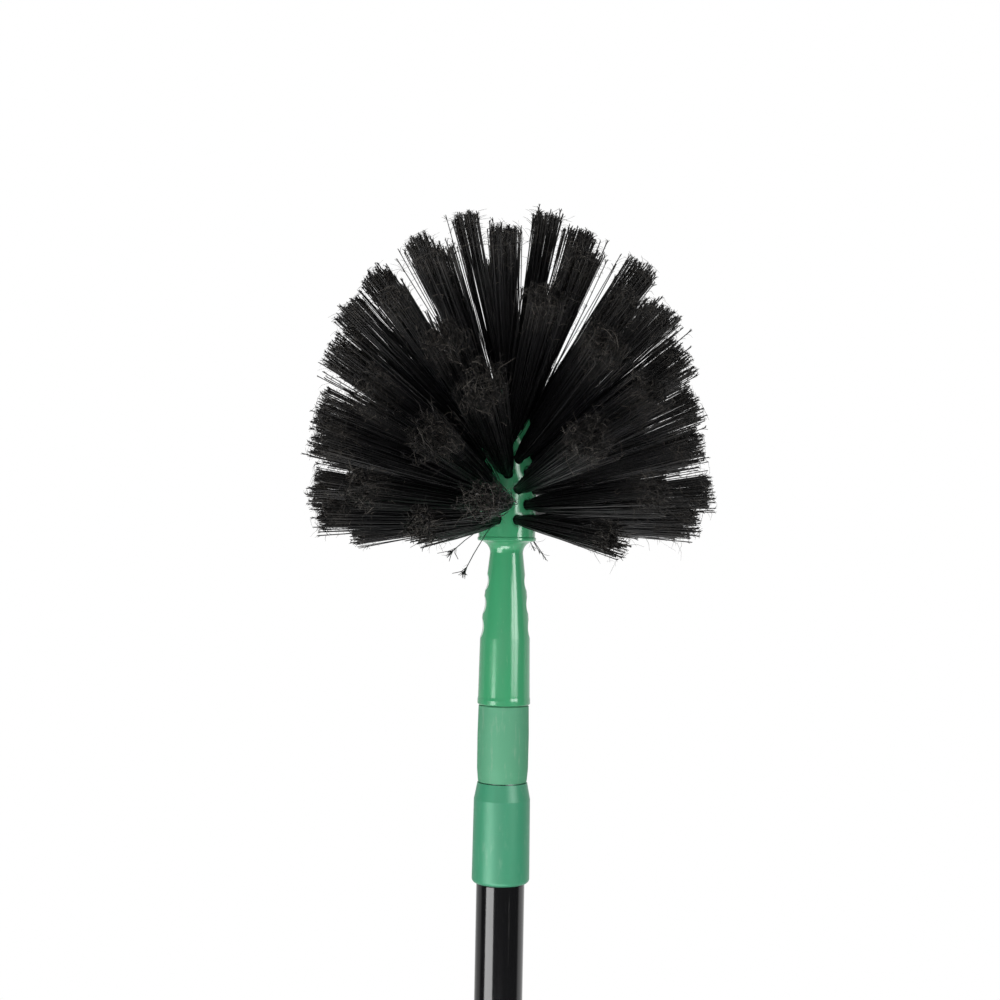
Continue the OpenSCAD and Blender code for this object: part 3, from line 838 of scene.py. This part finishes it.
class BRUSH_OT_stage(bpy.types.Operator):
    """Sets up the floor, the lamps, the world and the camera"""
    bl_idname = "brush.stage"
    bl_label = "Stage"

    def execute(self, context):
        settings = context.scene.brush_stage
        self.floor(settings)
        self.lamps(context)
        self.world(context, settings)
        self.camera(context, settings)
        context.scene.view_settings.view_transform = "Standard"
        return {"FINISHED"}

    def floor(self, settings):
        """A round grey floor that keeps the brush's shadow and fades to white towards its rim."""
        finish = Finish("floor", roughness=0.9, specular_ior_level=0.0, base_color=FLOOR_GREY)
        x, y, _ = finish.axes()
        far = (x * x + y * y) ** 0.5
        radius = settings.floor_radius
        camera, glossy, through = finish.light_paths()
        glow = finish.node("ShaderNodeEmission", None, {"Color": WHITE, "Strength": 1.0})
        share = (camera + glossy + through) * finish.ramp(far, radius * 0.1, radius * 0.95, 0.55, 1.0)
        matte = Wire(finish, finish.shader.outputs[0])
        finish.show(finish.node("ShaderNodeMixShader", None, {0: share, 1: matte, 2: glow}))
        mesh = bpy.data.meshes.new("floor")
        angles = [math.radians(side * 360 / FLOOR_SIDES) for side in range(FLOOR_SIDES)]
        mesh.from_pydata(
            [(math.cos(a) * radius, math.sin(a) * radius, 0) for a in angles], [], [range(FLOOR_SIDES)])
        mesh.materials.append(finish.material)
        made = bpy.data.objects.new("floor", mesh)
        made.location.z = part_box("end_cap")[0][2] - settings.floor_gap
        bpy.context.scene.collection.objects.link(made)

    def lamps(self, context):
        """Soft boxes round the neck."""
        aim = Vector((0, 0, LAMP_AIM))
        for name, turn, lift, distance, wide, tall, level, matte, glossy in LAMPS:
            a, e = math.radians(turn), math.radians(lift)
            lamp = bpy.data.lights.new(name, "AREA")
            lamp.shape = "RECTANGLE"
            lamp.size, lamp.size_y = wide, tall
            lamp.energy = level * math.pi * wide * tall
            made = bpy.data.objects.new(name, lamp)
            outward = Vector((math.sin(a) * math.cos(e), -math.cos(a) * math.cos(e), math.sin(e)))
            made.location = aim + outward * distance
            made.visible_camera, made.visible_diffuse, made.visible_glossy = False, matte, glossy
            made.rotation_euler = outward.to_track_quat("Z", "Y").to_euler()
            context.scene.collection.objects.link(made)

    def world(self, context, settings):
        """White to the camera, a white backdrop behind the brush in reflections, even fill otherwise."""
        world = bpy.data.worlds.new("studio")
        sky = Nodes(world, "ShaderNodeOutputWorld")
        camera, glossy, through = sky.light_paths()
        x, y, _ = sky.axes(sky.node("ShaderNodeTexCoord", out="Generated"))
        backdrop = sky.ramp(y, 0.05, 0.3, 0.08, 1.0) * sky.ramp(x, -1.0, 0.2, 0.6, 1.0)
        level = camera + through + glossy * backdrop + (1 - camera - through - glossy) * settings.fill
        sky.show(sky.node("ShaderNodeBackground", None, {"Color": WHITE, "Strength": level}))
        context.scene.world = world

    def camera(self, context, settings):
        """In front of the pole, level with the head's flange and turned a little upwards."""
        lens = bpy.data.cameras.new("camera")
        lens.lens = settings.lens
        lens.sensor_width = SENSOR_WIDTH
        lens.clip_start, lens.clip_end = SEEN_FROM_TO
        made = bpy.data.objects.new("camera", lens)
        made.location = (0, -settings.distance, settings.height)
        upright = Euler((math.pi / 2 + settings.pitch, 0, settings.yaw)).to_matrix()
        made.rotation_euler = (upright @ Matrix.Rotation(settings.roll, 3, "Z")).to_euler()
        context.scene.collection.objects.link(made)
        context.scene.camera = made


class BRUSH_PT_panel(bpy.types.Panel):
    """Lists the steps and the settings of the brush"""
    bl_idname = "BRUSH_PT_panel"
    bl_label = "Cobweb brush"
    bl_space_type = "VIEW_3D"
    bl_region_type = "UI"
    bl_category = "Brush"

    def draw(self, context):
        column = self.layout.column()
        for step in STEPS:
            column.operator(step.bl_idname)
        for group in GROUPS:
            for name in group.__annotations__:
                column.prop(getattr(context.scene, GROUPS[group]), name)


STEPS = (BRUSH_OT_finishes, BRUSH_OT_tufts, BRUSH_OT_strays, BRUSH_OT_stage)
GROUPS = {
    BrushFinishSettings: "brush_finish",
    BrushTuftSettings: "brush_tufts",
    BrushStageSettings: "brush_stage",
}


def register():
    for group, name in GROUPS.items():
        bpy.utils.register_class(group)
        setattr(bpy.types.Scene, name, PointerProperty(type=group))
    for one in (*STEPS, BRUSH_PT_panel):
        bpy.utils.register_class(one)


def unregister():
    for one in (BRUSH_PT_panel, *reversed(STEPS)):
        bpy.utils.unregister_class(one)
    for group, name in reversed(list(GROUPS.items())):
        delattr(bpy.types.Scene, name)
        bpy.utils.unregister_class(group)


def main():
    register()
    bpy.ops.brush.stage()
    bpy.ops.brush.finishes()
    bpy.ops.brush.tufts()
    bpy.ops.brush.strays()


if __name__ == "__main__":
    main()
